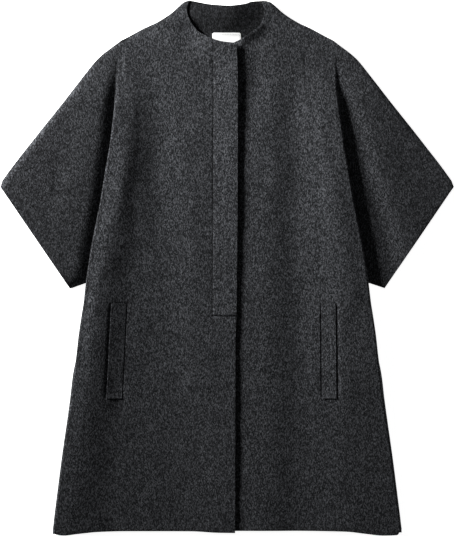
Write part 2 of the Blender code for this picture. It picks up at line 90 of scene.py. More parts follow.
def soft_light(name, place, way, size, watts):
    """A square area light at a place, shining along a way."""
    lamp = bpy.data.lights.new(name, "AREA")
    lamp.size = size
    lamp.energy = watts
    light = added(name, lamp)
    light.location = place
    flat = np.hypot(way[0], way[1])
    light.rotation_euler = (np.arctan2(flat, -way[2]), 0.0, np.arctan2(way[1], way[0]) - np.pi / 2)


paper_floor()
soft_light("key", **KEY_LIGHT)
soft_light("overhead", **TOP_LIGHT)

air = bpy.data.worlds.new("studio air")
air.use_nodes = True
air.node_tree.nodes["Background"].inputs["Color"].default_value = AIR_COLOUR
air.node_tree.nodes["Background"].inputs["Strength"].default_value = AIR_STRENGTH
bpy.context.scene.world = air
bpy.context.scene.view_settings.view_transform = "Standard"

camera_data = bpy.data.cameras.new("camera")
camera_data.sensor_width = SENSOR
camera_data.lens = SENSOR * CAMERA_HEIGHT / FIELD_LONG
camera_data.clip_end = 50.0
camera = added("camera", camera_data)
camera.location = (*FIELD_CENTRE, CAMERA_HEIGHT)
bpy.context.scene.camera = camera

# ---------------------------------------------------------------------------------------------
# Back. One panel of double-faced wool, cut in one with the back halves of the sleeves and of the
# collar. It lies flat, and only its collar lifts. It shows only inside the neck, and its colour is
# darkened all over as painted shade for that hollow.
MM = 0.001
COAT_TOP = 520.5            # collar top to the middle of the outline, along Y
WALL = 2.5                  # thickness of the cloth
SEAM_GAP = 0.3              # room left between two panels that are sewn together
RIGHT, LEFT = -1, 1         # sign of X
CLOTH_CELL = 7.0            # size of a cell of the finished cloth
SEAM_CELLS = (1.2, 2.6, 4.6)          # how far from a seam its closer lines run


def table(names, *rows):
    """Columns by name; the first one is always the distance down."""
    return dict(zip(names.split(), np.array(rows, float).T))


def smooth(t):
    """Ease from 0 to 1 with level ends: 3t^2 - 2t^3."""
    t = np.clip(t, 0.0, 1.0)
    return t * t * (3 - 2 * t)


def eased(at, start, end):
    """The same ease, from 0 at start to 1 at end."""
    return smooth((at - start) / (end - start))


def tangents(xs, ys, ends):
    """Slopes at points: the harmonic mean of the slopes beside each, level at a turning point, and
    at both ends the slope there times ends."""
    slope = np.diff(ys, axis=0) / np.diff(xs, axis=0)
    product = slope[:-1] * slope[1:]
    total = np.where(product > 0, slope[:-1] + slope[1:], 1.0)
    inner = np.where(product > 0, 2 * product / total, 0.0)
    return np.concatenate([ends * slope[:1], inner, ends * slope[-1:]])


def glide(at, xs, ys):
    """Curve through points with no overshoot: cubic pieces with those slopes at the points."""
    xs, ys = np.asarray(xs, float), np.asarray(ys, float)
    tangent = tangents(xs, ys, 1.0)
    piece = np.clip(np.searchsorted(xs, at, side="right") - 1, 0, len(xs) - 2)
    step = xs[piece + 1] - xs[piece]
    t = np.clip((at - xs[piece]) / step, 0, 1)
    first = (1 + 2 * t) * (1 - t) ** 2 * ys[piece] + t * (1 - t) ** 2 * step * tangent[piece]
    second = t * t * (3 - 2 * t) * ys[piece + 1] + t * t * (t - 1) * step * tangent[piece + 1]
    return first + second


def curve_through(at, knots):
    """The same curve through (place, height) pairs of arrays, with level ends."""
    xs, ys = (np.stack([np.broadcast_to(value, at.shape) for value in values]) for values in zip(*knots))
    tangent = tangents(xs, ys, 0.0)
    height = ys[0]
    for k, step in enumerate(np.diff(xs, axis=0)):
        t = np.clip((at - xs[k]) / step, 0, 1)
        rise = t * t * (3 - 2 * t) * (ys[k + 1] - ys[k])
        bend = t * (1 - t) ** 2 * step * tangent[k] + t * t * (t - 1) * step * tangent[k + 1]
        height = height + rise + bend
    return height


def read(columns, name, down):
    """The named column of a table at the given distance down."""
    return glide(down, columns["down"], columns[name])


def along(line, share):
    """Points at the given shares of a line's length, rounded through its corners."""
    line = np.asarray(line, float)
    length = np.concatenate([[0], np.cumsum(np.hypot(*np.diff(line, axis=0).T))])
    at = np.asarray(share) * length[-1]
    return np.stack([glide(at, length, line[:, 0]), glide(at, length, line[:, 1])], axis=-1)


def distance(points, line):
    """Least distance from each point to a line of straight stretches."""
    line = np.asarray(line, float)
    start, way = line[:-1], np.diff(line, axis=0)
    offset = points[..., None, :] - start
    share = np.clip((offset * way).sum(-1) / (way * way).sum(-1), 0, 1)
    return np.linalg.norm(offset - share[..., None] * way, axis=-1).min(-1)


def rounded(near):
    """Quarter round from 0 at a seam to 1 at the given distance from it."""
    return np.sqrt(1 - np.clip(1 - near, 0, 1) ** 2)


def patch(top, bottom, left, right, level, share):
    """Surface spanned by four edges: the two rulings added, less the one through the corners. Its
    rows are at the given levels from top to bottom and its columns at the given shares across."""
    v = np.asarray(level, float)[:, None, None]
    u = np.asarray(share, float)[None, :, None]
    sides = (1 - u) * left[:, None] + u * right[:, None]
    ends = (1 - v) * top[None] + v * bottom[None]
    corners = (1 - v) * ((1 - u) * top[0] + u * top[-1]) + v * ((1 - u) * bottom[0] + u * bottom[-1])
    return sides + ends - corners


def rows_through(*stops, fine=()):
    """Distances down through all stops, about one cell apart, and closer beside the fine stops."""
    near = np.array((0.0, *SEAM_CELLS))
    parts = []
    for start, end in zip(stops[:-1], stops[1:]):
        head = start + (near if start in fine else near[:1])
        tail = end - (near if end in fine else near[:1])[::-1]
        cells = int(np.ceil((tail[0] - head[-1]) / CLOTH_CELL))
        parts += [head, np.linspace(head[-1], tail[0], cells + 1), tail]
    return np.unique(np.round(np.concatenate(parts), 6))


# The collar's back edge, the shoulder and overarm seam, the cuff and the underarm.
SHOULDER = np.array([
    (83, 3), (95, 13), (109, 25), (137, 43), (163, 55), (185, 67), (217, 86), (241, 104),
    (254, 116), (284, 154), (314, 193), (376, 271), (433, 346), (441, 360)], float)
CUFF_TIP = (441.0, 363.0)
CUFF_HEEL = (306.5, 560.0)
UNDERARM = (276.0, 550.0)
CREASE_END = (240.0, 541.0)
COLLAR_BACK = np.array([
    (-72.6, 0), (-43, 6), (-30, 8), (3, 10), (35, 6), (48, 1.5), (67.8, 0)], float)
HEM_RIGHT = np.array([
    (-19, 1036.6), (20, 1036), (72, 1033.5), (190, 1033.4), (250, 1034.5), (290, 1038), (318, 1041),
    (334, 1038.5), (341.5, 1031)], float)
HEM_LEFT = np.array([
    (-34, 1033), (20, 1032.8), (120, 1032.6), (230, 1034), (270, 1038.4), (304, 1041.8),
    (331, 1040.8), (338, 1030)], float)

# The fold at the armhole and, below the underarm, the rolled side edge: its outermost line, how
# far the cloth turns under, and the lengths of the roll, of the returning part and of the crease.
FOLD = table(
    "down edge turn roll back crease",
    (60, 211.5, 0, 5.0, 0.8, 3.0),
    (92, 212.0, 3, 5.0, 0.8, 3.0),
    (120, 213.0, 12, 5.2, 0.9, 3.2),
    (142, 214.5, 22, 6.0, 1.2, 3.6),
    (165, 215.5, 36, 6.8, 1.6, 4.0),
    (192, 218.5, 68, 7.4, 1.8, 4.6),
    (222, 221.5, 106, 7.6, 1.8, 4.9),
    (280, 228.5, 155, 8.2, 8.0, 5.4),
    (338, 238.5, 173, 8.5, 17.0, 5.6),
    (396, 248.0, 176, 8.5, 21.0, 5.6),
    (450, 259.0, 177, 8.5, 26.0, 5.6),
    (500, 268.0, 177, 8.5, 30.0, 5.6),
    (538, 273.5, 177, 8.5, 32.0, 5.6),
    (590, 280.0, 175, 8.5, 27.0, 5.6),
    (614, 283.8, 172, 8.5, 22.0, 5.6),
    (653, 289.5, 165, 8.5, 12.0, 5.6),
    (693, 294.0, 150, 8.0, 6.0, 5.6),
    (733, 299.5, 125, 7.8, 2.5, 5.6),
    (775, 305.5, 100, 7.5, 1.6, 5.6),
    (880, 321.0, 90, 7.0, 1.3, 5.6),
    (973, 333.0, 90, 6.5, 1.0, 5.6),
    (1041, 341.5, 90, 6.0, 1.0, 5.6))
ROLL_STEPS, RETURN_STEPS, CREASE_STEPS = 12, 6, 9

# How far the back collar stands off the surface, from the wearer's right (below 0) to the left, the
# distances down to which that holds and where it has died away, and how much further down it dies
# away past two places across.
STAND = table(
    "place lift", (-128, 0), (-84, 7), (-72, 8.2), (-60, 10), (-40, 10.8), (-8, 11.8), (10, 11.4),
    (20, 10.0), (32, 7.6), (46, 4.6), (58, 2.2), (68, 0.5), (76, 0), (125, 0))
STAND_DEPTH = (28.0, 60.0)
STAND_DEEPER, STAND_PLACES = 16.0, (-60.0, -10.0)


def collar_lift(place, down):
    """Height gained by the back of the collar at a signed place across and a distance down."""
    full, none = STAND_DEPTH
    none = none + STAND_DEEPER * eased(place, *STAND_PLACES)
    return glide(place, STAND["place"], STAND["lift"]) * eased(down, none, full)


def fold_path(down):
    """Travel, drop, length and turn at each step through the fold: the heading turns evenly under
    through the roll, holds through the returning part, and turns back in the crease."""
    turn = np.radians(read(FOLD, "turn", down))[:, None]
    parts = (("roll", ROLL_STEPS), ("back", RETURN_STEPS), ("crease", CREASE_STEPS))
    step = np.concatenate(
        [np.repeat(read(FOLD, name, down)[:, None] / count, count, axis=1) for name, count in parts], axis=1)
    under = (np.arange(ROLL_STEPS) + 0.5) / ROLL_STEPS
    out_again = 1 - (np.arange(CREASE_STEPS) + 0.5) / CREASE_STEPS
    heading = turn * np.concatenate([under, np.ones(RETURN_STEPS), out_again])
    travel = np.cumsum(step * np.cos(heading), axis=1)
    drop = np.cumsum(step * np.sin(heading), axis=1)
    roll_start = read(FOLD, "edge", down) - WALL / 2 - travel[:, :ROLL_STEPS].max(axis=1)
    return roll_start, travel, drop, np.cumsum(step, axis=1), turn[:, 0]


BACK_YOKE = (85.0, 222.0)       # distances down of the rows that fan out to the shoulder
BACK_UNDERARM = 541.0
BACK_END = 1031.0
BACK_SIDE = (216.0, 246.0)      # the sleeve's start at the first row and at the underarm
SIDE_TUCK = 7.0                 # how far the side runs on under the fold when that turns right back
YOKE_ROWS, SHOULDER_CELLS, COLLAR_CELLS, BACK_SLEEVE_CELLS = 24, 28, 24, 25


def back_sheet():
    """Middle points and cut places of the back, from cuff to cuff."""
    yoke_downs = np.linspace(*BACK_YOKE, YOKE_ROWS)
    body_downs = rows_through(BACK_YOKE[1], BACK_UNDERARM, BACK_END)[1:]
    downs = np.concatenate([yoke_downs, body_downs])
    yoke = len(yoke_downs)
    arm = int(np.flatnonzero(downs == BACK_UNDERARM)[0]) + 1
    side = np.interp(downs, (downs[0], BACK_UNDERARM), BACK_SIDE)
    roll_out, travel, _, _, turn = fold_path(downs[arm:])
    sewn = roll_out + travel[:, ROLL_STEPS + RETURN_STEPS - 1]
    side[arm:] = sewn + WALL / 2 + SIDE_TUCK * np.maximum(-np.cos(turn), 0)
    edge = np.stack([side, downs], axis=1)
    mirror = np.array([-1.0, 1.0])

    shoulder = np.vstack([SHOULDER[SHOULDER[:, 0] < edge[0, 0]], edge[:1]])
    right_shoulder = np.vstack([edge[:1] * mirror, shoulder[-2::-1] * mirror, COLLAR_BACK[:1]])
    left_shoulder = np.vstack([COLLAR_BACK[-1:], shoulder])
    cells = np.linspace(0, 1, SHOULDER_CELLS + 1)
    collar = along(COLLAR_BACK, np.linspace(0, 1, COLLAR_CELLS + 1))
    top = np.vstack([along(right_shoulder, cells), collar[1:], along(left_shoulder, cells)[1:]])
    columns = np.linspace(-1, 1, len(top))
    rows = np.stack([columns * side[:, None], downs[:, None] + 0 * columns], axis=2)
    hem_out = rows[-1, :, 0]
    hem_right = glide(-hem_out, HEM_RIGHT[:, 0], HEM_RIGHT[:, 1])
    hem_left = glide(hem_out, HEM_LEFT[:, 0], HEM_LEFT[:, 1])
    rows[-1, :, 1] = np.where(hem_out < 0, hem_right, hem_left)
    level = (yoke_downs - yoke_downs[0]) / (yoke_downs[-1] - yoke_downs[0])
    rows[:yoke] = patch(top, rows[yoke - 1], edge[:yoke] * mirror, edge[:yoke], level, (columns + 1) / 2)

    across = np.linspace(0, 1, BACK_SLEEVE_CELLS + 1)
    overarm = np.vstack([edge[:1], SHOULDER[SHOULDER[:, 0] > edge[0, 0]], [CUFF_TIP]])
    underarm = np.array([edge[arm - 1], UNDERARM, CUFF_HEEL])
    cuff = np.linspace(CUFF_TIP, CUFF_HEEL, arm)
    sleeve = np.full((len(downs), len(across) - 1, 2), np.nan)
    sleeve[:arm] = patch(
        along(overarm, across), along(underarm, across), edge[:arm], cuff, np.linspace(0, 1, arm),
        across)[:, 1:]
    flat = np.concatenate([(sleeve * mirror)[:, ::-1], rows, sleeve], axis=1)
    height = WALL / 2 + collar_lift(flat[..., 0], flat[..., 1])
    return np.concatenate([flat, height[..., None]], axis=2), flat


# Brushed wool: grey mélange, short fibres combed down the cut, cloudy from wear and pressing. Sizes
# are (across, down, through).
WOOL_SURFACE = {
    "Roughness": 1.0, "Specular IOR Level": 0.12, "Sheen Weight": 0.10, "Sheen Roughness": 0.45,
    "Sheen Tint": (0.55, 0.58, 0.64, 1.0)}
WOOL_BUMP, WOOL_DEEP = 0.12, 0.0006        # strength of the relief, and its depth in metres
FIBRE, FLECK, FIBRE_SHARE = (1.1, 2.7, 3.0), (1.0, 2.4, 2.0), 0.76
LEAN, LEAN_WIDE = (22, 30, 22), 0.006      # the second is in metres
CLOUD, CLOUD_GREYS = (60, 90, 70), ((0.3, 0.88), (0.7, 1.0))
WOOL_GREYS = ((0.12, 0.0045), (0.36, 0.0105), (0.55, 0.024), (0.74, 0.056), (0.90, 0.098))
WOOL_TINT = (0.950, 0.990, 1.080)


def ramped(new, join, value, stops):
    """The value as a colour, between stops of a place and a colour."""
    ramp = new("ShaderNodeValToRGB")
    while len(ramp.color_ramp.elements) < len(stops):
        ramp.color_ramp.elements.new(0.5)
    for stop, (at, colour) in zip(ramp.color_ramp.elements, stops):
        stop.position = at
        stop.color = (*colour, 1.0)
    join(value, ramp.inputs["Fac"])
    return ramp.outputs["Color"]


def embossed(new, join, shader, source, strength, deep):
    """The source as relief of that strength, so many metres deep."""
    relief = new("ShaderNodeBump")
    relief.inputs["Strength"].default_value = strength
    relief.inputs["Distance"].default_value = deep
    join(source, relief.inputs["Height"])
    join(relief.outputs["Normal"], shader.inputs["Normal"])


def wool(name, tone=1.0):
    """Mélange cloth on the cut's own coordinates: streaks of fibre about 1 mm by 3 mm, warped a
    little, in five greys, with a slow cloudiness, and the same streaks as relief."""
    material, new, join, shader = finish(name, WOOL_SURFACE)
    cut = new("ShaderNodeAttribute")
    cut.attribute_name = "cut"

    def stretched(size, source):
        """Coordinates on which one unit is the size in millimetres."""
        stretch = new("ShaderNodeMapping")
        stretch.inputs["Scale"].default_value = [1000.0 / s for s in size]
        join(source, stretch.inputs["Vector"])
        return stretch.outputs["Vector"]

    def noise(size, detail, rough, source):
        """Noise with grains of that size."""
        vector = stretched(size, source)
        grain = new("ShaderNodeTexNoise")
        grain.inputs["Scale"].default_value = 1.0
        grain.inputs["Detail"].default_value = detail
        grain.inputs["Roughness"].default_value = rough
        join(vector, grain.inputs["Vector"])
        return grain.outputs["Fac"]

    def fibres(size, source):
        """Short strands of that size, each of one random tone."""
        vector = stretched(size, source)
        strand = new("ShaderNodeTexVoronoi")
        strand.inputs["Scale"].default_value = 1.0
        join(vector, strand.inputs["Vector"])
        shade = new("ShaderNodeSeparateColor")
        join(strand.outputs["Color"], shade.inputs["Color"])
        return shade.outputs["Red"]

    def mixed(kind, *values):
        """Arithmetic on two values."""
        node = new("ShaderNodeMath")
        node.operation = kind
        for socket, value in zip(node.inputs, values):
            if isinstance(value, (int, float)):
                socket.default_value = value
            else:
                join(value, socket)
        return node.outputs["Value"]

    def multiplied(colour, other):
        """Two colours multiplied."""
        product = new("ShaderNodeMix")
        product.data_type = "RGBA"
        product.blend_type = "MULTIPLY"
        product.inputs["Factor"].default_value = 1.0
        join(colour, product.inputs["A"])
        join(other, product.inputs["B"])
        return product.outputs["Result"]

    # The combing wanders: the streaks lean a little one way and the other.
    wander = mixed("SUBTRACT", noise(LEAN, 1, 0.5, cut.outputs["Vector"]), 0.5)
    lean = mixed("MULTIPLY", wander, LEAN_WIDE)
    split = new("ShaderNodeSeparateXYZ")
    join(cut.outputs["Vector"], split.inputs["Vector"])
    combed = new("ShaderNodeCombineXYZ")
    join(mixed("ADD", split.outputs["X"], lean), combed.inputs["X"])
    join(split.outputs["Y"], combed.inputs["Y"])
    join(split.outputs["Z"], combed.inputs["Z"])
    place = combed.outputs["Vector"]

    strands = mixed("MULTIPLY", fibres(FIBRE, place), FIBRE_SHARE)
    flecks = mixed("MULTIPLY", noise(FLECK, 1, 0.6, place), 1 - FIBRE_SHARE)
    nap = mixed("ADD", strands, flecks)
    greys = [(at, [grey * tint * tone for tint in WOOL_TINT]) for at, grey in WOOL_GREYS]
    dyed = ramped(new, join, nap, greys)
    cloud = noise(CLOUD, 3, 0.6, cut.outputs["Vector"])
    haze = ramped(new, join, cloud, [(at, [grey] * 3) for at, grey in CLOUD_GREYS])
    # Painted shade: the colour is multiplied by each point's factor of painted shade, which darkens the
    # sleeves.
    painted_shade = new("ShaderNodeAttribute")
    painted_shade.attribute_name = "painted_shade"
    join(multiplied(multiplied(dyed, haze), painted_shade.outputs["Fac"]), shader.inputs["Base Color"])
    embossed(new, join, shader, nap, WOOL_BUMP, WOOL_DEEP)
    return material


TURNED_EDGE = 0.7           # how wide the rounding of a cloth edge is
BACK_PAINTED_SHADE = 0.42            # painted shade: share of the wool's colour kept on the back, for the hollow inside the neck


def cloth_piece(name, grid, cut, side, node, material, thick=WALL, edge=TURNED_EDGE, painted_shade=1.0):
    """A piece of cloth over a grid of middle points: quads where all four corners are cloth,
    thickened both ways, with its edges rounded. Every point keeps its place in the cut and a
    factor of painted shade that darkens its colour."""
    world = np.stack([side * grid[..., 0], COAT_TOP - grid[..., 1], grid[..., 2]], axis=-1) * MM
    number = np.arange(grid.shape[0] * grid.shape[1]).reshape(grid.shape[:2])
    a, b, c, d = number[:-1, :-1], number[:-1, 1:], number[1:, 1:], number[1:, :-1]
    whole = ~np.isnan(grid[..., 0])
    keep = whole[:-1, :-1] & whole[:-1, 1:] & whole[1:, 1:] & whole[1:, :-1]
    corners = (a, b, c, d) if side == RIGHT else (a, d, c, b)
    faces = np.stack(corners, axis=-1)[keep]
    used, faces = np.unique(faces, return_inverse=True)
    mesh = bpy.data.meshes.new(name)
    mesh.from_pydata(world.reshape(-1, 3)[used].tolist(), [], faces.reshape(-1, 4).tolist())
    places = np.zeros((len(used), 3))
    places[:, :2] = cut.reshape(-1, 2)[used] * MM
    places[:, 0] *= side
    mesh.attributes.new("cut", "FLOAT_VECTOR", "POINT").data.foreach_set("vector", places.ravel())
    # Painted shade: each point keeps a factor that darkens its colour, less than 1 on the sleeves.
    shade_factor = np.broadcast_to(painted_shade, grid.shape[:2]).ravel()[used]
    mesh.attributes.new("painted_shade", "FLOAT", "POINT").data.foreach_set("value", shade_factor.astype(np.float32))
    mesh.materials.append(material)
    mesh.shade_smooth()
    piece = added(name, mesh)
    wall = piece.modifiers.new("wall", "SOLIDIFY")
    wall.thickness = thick * MM
    wall.offset = 0.0
    wall.use_even_offset = True
    turned_edge = piece.modifiers.new("turned edge", "BEVEL")
    turned_edge.width = edge * MM
    turned_edge.segments = 3
    turned_edge.limit_method = "ANGLE"
    turned_edge.angle_limit = np.radians(55)
    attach(piece, "root")
    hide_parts(node)
    return piece


grid, cut = back_sheet()
# The back's wool is painted darker than the fronts': painted shade for the hollow inside the neck.
back = cloth_piece("back_cloth", grid, cut, LEFT, "back", wool("back wool", BACK_PAINTED_SHADE))

# ---------------------------------------------------------------------------------------------
# Left front. One panel with its half sleeve and half collar, running on beneath the right front. At
# the armhole the body rolls over its own edge, returns underneath and comes out again as the
# sleeve; below the underarm it is sewn to the back.
SEAM = 1.5 * WALL + SEAM_GAP          # middle of a front where it is sewn to the back
COLLAR_SHIFT = (1.2 * WALL, 0.8 * WALL)        # how far out and down the front lies on the back collar
NECK_REACH = 34.0            # how far the lift of the neck edge runs on into the cloth
NECK_SIDE = (28.0, 90.0)     # out to where that lift is the lap's, and the side's
LAP_PLACES = (-19.0, 26.0)   # centre front edge and placket seam, where the lap heights hold
RIM_REACH, RIM_LEAST = 12.0, 0.35      # how far the neck edge's own rim runs on, and its least share
RIM_OUT, RIM_DOWN = (19.0, 31.0), (36.0, 60.0)        # the places between which the rim grows
SHOULDER_ROUND = 13.0
SHOULDER_WAY = (0.80, 0.60)  # the way that the fold leaves along the shoulder seam
UNDERARM_ROUND = 26.0
SLEEVE_LOW = 0.6             # height of the sleeve in the crease, above its seams
CREASE_OPENS = (80.0, 135.0)          # down to where the crease is shallow, and deep
CREASE_LOWER = (135.0, 535.0)         # where the puff has its first values, and its second
CUFF_RISE, SLEEVE_EASE = 1.2, 80.0    # the sleeve has risen by the first that far beyond the crease
SLEEVE_UNEVEN = 0.6          # share of the body's unevenness
SHADE_EASE = 40.0             # how far beyond the fold the sleeve's painted shade takes to set in fully
WAVES = ((61, 148, 0.13), (-83, 119, 0.16), (117, -71, 0.12), (45, 260, 0.10))   # across, down, rise
FADE = 0.35                  # share of a crease's length over which its ends fade
# The sleeve's puff beside the crease: the distances down over which it sets in, where it begins
# and how wide it rises, to what height, over what width that settles to what is kept, how steeply
# it begins, and how much shallower the crease is at its top.
LEFT_PUFF = dict(
    down=(110, 260), begin=(6, 46), width=38, rise=(5.6, 5.2), settled=110, kept=0.4, steep=0.0, shallow=0.6)
YOKE_STARTS = (77, 92, 108, 124, 142, 165, 192, 222)     # on the roll line
YOKE_CELLS = 5              # cells between two of those
NECK_START = 4              # the one that meets the neck at the placket seam
UNDERARM_DOWN = 541.0
PLACKET_END = 614.0
WELT_TOP, WELT_END = 590.0, 775.0
POCKET_DEPTH = 1.7           # how far the front sinks under its welt
WELT_LIFT = 10.0             # the pocket's dip runs out this far above the welt's lower end
STRIP_WIDE = 48.0            # placket seam to centre front edge
SLEEVE_SPREAD = 1.25         # the sleeve's columns lie closer at the crease
HEM_BENDS = (0.33, 0.66)     # how much of the hem's bend the two rows above it take
SIDE_SETTLES = 60.0          # the side has settled on the back this far below the underarm
STRIP_CELLS, CHEST_CELLS, WELT_CELLS, SIDE_CELLS, SLEEVE_CELLS = 11, 28, 10, 16, 34


def seam_rise(points):
    """0 on the shoulder and overarm seam, 1 beyond the rounded edge there."""
    seam = np.vstack([COLLAR_BACK[-1:], SHOULDER, [CUFF_TIP]])
    return rounded(distance(points, seam) / SHOULDER_ROUND)


def creased(points, creases):
    """Soft troughs and ridges: each runs between two points and fades to its ends, with a
    bell-shaped section of its own width and height."""
    height = np.zeros(points.shape[:-1])
    for out0, down0, out1, down1, width, rise in creases:
        start, way = np.array([out0, down0]), np.array([out1 - out0, down1 - down0])
        length = np.hypot(*way)
        offset = points - start
        share = (offset @ way) / length ** 2
        off = (offset[..., 0] * way[1] - offset[..., 1] * way[0]) / length
        ends = smooth(share / FADE) * smooth((1 - share) / FADE)
        height += rise * np.exp(-(off / width) ** 2) * ends
    return height


def uneven(points, phase):
    """Slow unevenness of pressed cloth: four crossing waves, each begun at a phase of its own."""
    out, down = points[..., 0], points[..., 1]
    return sum(
        rise * np.sin(2 * np.pi * (out / across + down / long) + phase * (count + 1.7))
        for count, (across, long, rise) in enumerate(WAVES))


def body_height(points, neck, stand, form, lap, creases, phase, side, edge_out, edge_height):
    """Middle of the body cloth: crests and troughs along each row, raised or lowered along the neck
    edge, lowered to the shoulder seam, and eased level into the roll."""
    out, down = points[..., 0], points[..., 1]
    seam = SEAM + collar_lift(side * (out - COLLAR_SHIFT[0]), down - COLLAR_SHIFT[1])
    lap_rise, side_rise, rim = stand
    near = distance(points, neck)
    rise = lap_rise + (side_rise - lap_rise) * eased(out, *NECK_SIDE)
    collar = rise * np.exp(-(near / NECK_REACH) ** 2)
    rim = rim * eased(out, *RIM_OUT) * (RIM_LEAST + (1 - RIM_LEAST) * eased(down, *RIM_DOWN))
    collar = collar + rim * np.exp(-(near / RIM_REACH) ** 2)
    knots = [(LAP_PLACES[0], read(lap, "edge", down)), (LAP_PLACES[1], read(lap, "seam", down))]
    for name in ("crest", "trough", "flank", "ridge"):
        knots.append((read(form, name + "_out", down), read(form, name, down)))
    height = curve_through(out, knots) + creased(points, creases) + uneven(points, phase)
    height = seam + np.maximum(height + collar - SEAM, 0) * seam_rise(points)
    return height + (edge_height - height) * eased(out, knots[-1][0], edge_out)


def sleeve_height(points, puff, creases, phase):
    """Middle of the sleeve cloth: low in the crease, puffed beside it, settling to the cuff. The
    puff begins level or steeply and ends level: t^2 (3 - 2t) and 1 - (1 - t)^2, mixed."""
    out, down = points[..., 0], points[..., 1]
    lower = eased(down, *CREASE_LOWER)
    begin, rise = (puff[name][0] + (puff[name][1] - puff[name][0]) * lower for name in ("begin", "rise"))
    beyond = out - read(FOLD, "edge", down) - WALL - begin
    onset = eased(down, *puff["down"])
    width = puff["width"] * (1 + onset) / 2
    share = np.clip(beyond / width, 0, 1)
    puffed = rise * (puff["steep"] * (1 - (1 - share) ** 2) + (1 - puff["steep"]) * smooth(share))
    puffed = onset * (puffed + (puff["kept"] - rise) * smooth((beyond - width) / puff["settled"]))
    low = SLEEVE_LOW + puff["shallow"] * eased(down, *CREASE_OPENS[::-1])
    loose = CUFF_RISE + creased(points, creases) + SLEEVE_UNEVEN * uneven(points, phase)
    loose = smooth(beyond / SLEEVE_EASE) * loose
    underarm = np.array([CREASE_END, UNDERARM, CUFF_HEEL])
    clear = (low + puffed + loose) * seam_rise(points)
    return SEAM + clear * rounded(distance(points, underarm) / UNDERARM_ROUND)


def pocket_dip(points, grain):
    """How far the front sinks under the welt, with a slit left open along the welt's outer side. The
    welt's lower end lies proud, because the dip runs out before it."""
    out, down = points[..., 0], points[..., 1]
    near, far, end = SEAM_CELLS
    inner = (out - read(grain, "welt_in", down) + far) / (far - near)
    outer = (read(grain, "welt_out", down) + end - out) / (end - far)
    upper = (down - WELT_TOP) / (far - near) + 1
    lower = (WELT_END + near - down) / WELT_LIFT
    across, along_it = (np.clip(np.minimum(*pair), 0, 1) for pair in ((inner, outer), (upper, lower)))
    return POCKET_DEPTH * across * along_it


def between_seams(start, end, cells):
    """Places from one seam to the next, closer together beside both."""
    near = np.array(SEAM_CELLS)
    inner = cells - 2 * len(near)
    even = np.linspace(start + near[-1], end - near[-1], inner + 1)[1:-1]
    return np.concatenate([[start], start + near, even, end - near[::-1], [end]])


def body_columns(down, grain, roll_out):
    """Out positions of one straight row, spread between the placket seam and the welt's sides."""
    placket, welt_in, welt_out = (read(grain, name, down) for name in ("placket", "welt_in", "welt_out"))
    chest = between_seams(placket, welt_in, CHEST_CELLS)
    welt = between_seams(welt_in, welt_out, WELT_CELLS)
    side = between_seams(welt_out, roll_out, SIDE_CELLS)
    return np.concatenate([chest, welt[1:], side[1:]])


def painted_sleeve_shade(grid, shade_share):
    """Painted shade: a factor on the colour, 1 on the body and less on the sleeve, so that the sleeve is
    painted darker than the body.
    """
    beyond = np.nan_to_num(grid[..., 0] - read(FOLD, "edge", grid[..., 1]))
    sleeve = np.arange(grid.shape[1]) >= grid.shape[1] - SLEEVE_CELLS
    return 1 - shade_share * smooth(beyond / SHADE_EASE) * sleeve


